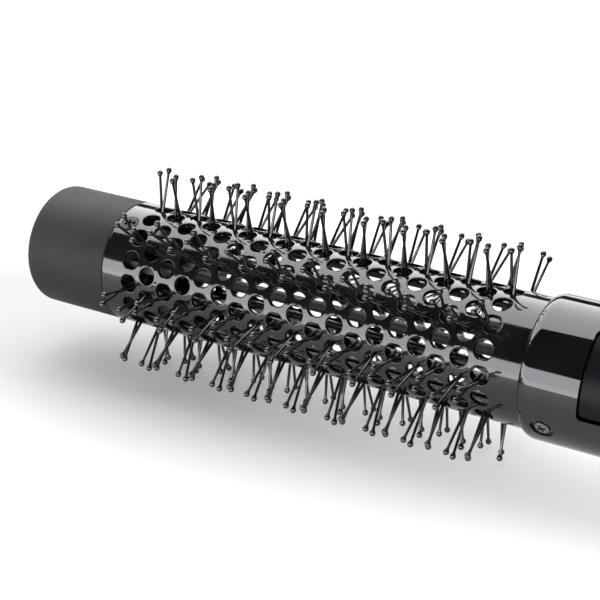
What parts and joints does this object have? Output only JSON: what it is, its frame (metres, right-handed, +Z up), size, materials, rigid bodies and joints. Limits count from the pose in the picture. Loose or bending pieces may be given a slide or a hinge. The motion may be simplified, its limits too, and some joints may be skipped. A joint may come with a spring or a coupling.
{
  "type": "hot air brush",
  "caption": "Round hot air brush with a perforated barrel, ball-tipped bristles that a twist of the tip knob draws in, and a slim handle with slide switch and button.",
  "frame": {"origin": "centre of the flat end of the twist knob, on the axis of the brush", "axes": "+X runs along the axis from the twist knob through the barrel to the handle; +Z is up when the brush lies on a row of bristles; the controls face -Y and 29 degrees upwards"},
  "size_m": [0.3697, 0.0636, 0.0636],
  "materials": {
    "soft_touch_black": "soft-touch moulding, fine grain",
    "gloss_black": "high-gloss moulding",
    "barrel_black": "gloss black coating on aluminium tube",
    "bristle_black": "semi-gloss nylon",
    "inner_black": "plain heat-resistant moulding",
    "satin_grey": "satin moulding",
    "black_screw": "black-oxide screw",
    "steel": "bright steel",
    "aluminium": "rolled sheet",
    "copper": "tinned copper case",
    "mica": "mica sheet",
    "circuit_green": "solder resist"
  },
  "bodies": {
    "handle": {"front_guide": "inner_black", "rear_guide": "inner_black", "barrel_tube": "barrel_black", "tip_screw_1": "black_screw", "tip_screw_2": "black_screw", "neck_spider": "inner_black", "handle_shell_top": "gloss_black", "handle_shell_bottom": "gloss_black", "handle_screw_1": "steel", "handle_screw_2": "steel", "collar_screw_1": "black_screw", "collar_screw_2": "black_screw", "control_panel": "satin_grey", "slide_switch": "inner_black", "button_switch": "inner_black", "heat_tube": "aluminium", "heater_board_1": "mica", "heater_board_2": "mica", "heater_coil": "steel", "thermostat": "steel", "thermal_fuse": "copper", "motor": "steel", "motor_mount": "inner_black", "rectifier_board": "circuit_green", "rectifier_block": "inner_black", "intake_grille": "soft_touch_black", "lint_screen": "steel"},
    "twist_knob": {"tip_knob": "soft_touch_black", "knob_end_cap": "satin_grey", "knob_screw": "steel", "spindle": "inner_black", "front_scroll": "inner_black", "rear_scroll": "inner_black"},
    "bristle_strip_1": {"bristle_strip_1": "bristle_black"},
    "bristle_strip_2": {"bristle_strip_2": "bristle_black"},
    "bristle_strip_3": {"bristle_strip_3": "bristle_black"},
    "bristle_strip_4": {"bristle_strip_4": "bristle_black"},
    "bristle_strip_5": {"bristle_strip_5": "bristle_black"},
    "bristle_strip_6": {"bristle_strip_6": "bristle_black"},
    "bristle_strip_7": {"bristle_strip_7": "bristle_black"},
    "bristle_strip_8": {"bristle_strip_8": "bristle_black"},
    "speed_slider": {"slider_knob": "soft_touch_black"},
    "cool_button": {"cool_button": "soft_touch_black"},
    "fan": {"fan_impeller": "inner_black", "motor_shaft": "steel"},
    "cord_swivel": {"swivel_gland": "inner_black"}
  },
  "joints": [
    {"name": "knob_twist", "type": "hinge", "parent": "handle", "child": "twist_knob", "pos_m": [0, 0, 0], "axis": [1, 0, 0], "range_deg": [0, 90]},
    {"name": "strip_1_slide", "type": "slide", "parent": "handle", "child": "bristle_strip_1", "axis": [0, 1, 0], "range_m": [0, 0.01201]},
    {"name": "strip_2_slide", "type": "slide", "parent": "handle", "child": "bristle_strip_2", "axis": [0, 0.7071, -0.7071], "range_m": [0, 0.01201]},
    {"name": "strip_3_slide", "type": "slide", "parent": "handle", "child": "bristle_strip_3", "axis": [0, 0, -1], "range_m": [0, 0.01201]},
    {"name": "strip_4_slide", "type": "slide", "parent": "handle", "child": "bristle_strip_4", "axis": [0, -0.7071, -0.7071], "range_m": [0, 0.01201]},
    {"name": "strip_5_slide", "type": "slide", "parent": "handle", "child": "bristle_strip_5", "axis": [0, -1, 0], "range_m": [0, 0.01201]},
    {"name": "strip_6_slide", "type": "slide", "parent": "handle", "child": "bristle_strip_6", "axis": [0, -0.7071, 0.7071], "range_m": [0, 0.01201]},
    {"name": "strip_7_slide", "type": "slide", "parent": "handle", "child": "bristle_strip_7", "axis": [0, 0, 1], "range_m": [0, 0.01201]},
    {"name": "strip_8_slide", "type": "slide", "parent": "handle", "child": "bristle_strip_8", "axis": [0, 0.7071, 0.7071], "range_m": [0, 0.01201]},
    {"name": "speed_slide", "type": "slide", "parent": "handle", "child": "speed_slider", "axis": [1, 0, 0], "range_m": [0, 0.008]},
    {"name": "cool_press", "type": "slide", "parent": "handle", "child": "cool_button", "axis": [0, 0.8746, -0.4848], "range_m": [0, 0.0015], "stiffness_N_per_m": 500, "springref_m": -0.001},
    {"name": "fan_spin", "type": "hinge", "parent": "handle", "child": "fan", "pos_m": [0.26, 0, 0], "axis": [1, 0, 0], "continuous": true},
    {"name": "cord_turn", "type": "hinge", "parent": "handle", "child": "cord_swivel", "pos_m": [0.36, 0, 0], "axis": [1, 0, 0], "continuous": true}
  ],
  "couplings": [
    {"joint": "strip_1_slide", "follows": "knob_twist", "m_per_rad": 0.00764},
    {"joint": "strip_2_slide", "follows": "knob_twist", "m_per_rad": 0.00764},
    {"joint": "strip_3_slide", "follows": "knob_twist", "m_per_rad": 0.00764},
    {"joint": "strip_4_slide", "follows": "knob_twist", "m_per_rad": 0.00764},
    {"joint": "strip_5_slide", "follows": "knob_twist", "m_per_rad": 0.00764},
    {"joint": "strip_6_slide", "follows": "knob_twist", "m_per_rad": 0.00764},
    {"joint": "strip_7_slide", "follows": "knob_twist", "m_per_rad": 0.00764},
    {"joint": "strip_8_slide", "follows": "knob_twist", "m_per_rad": 0.00764}
  ]
}
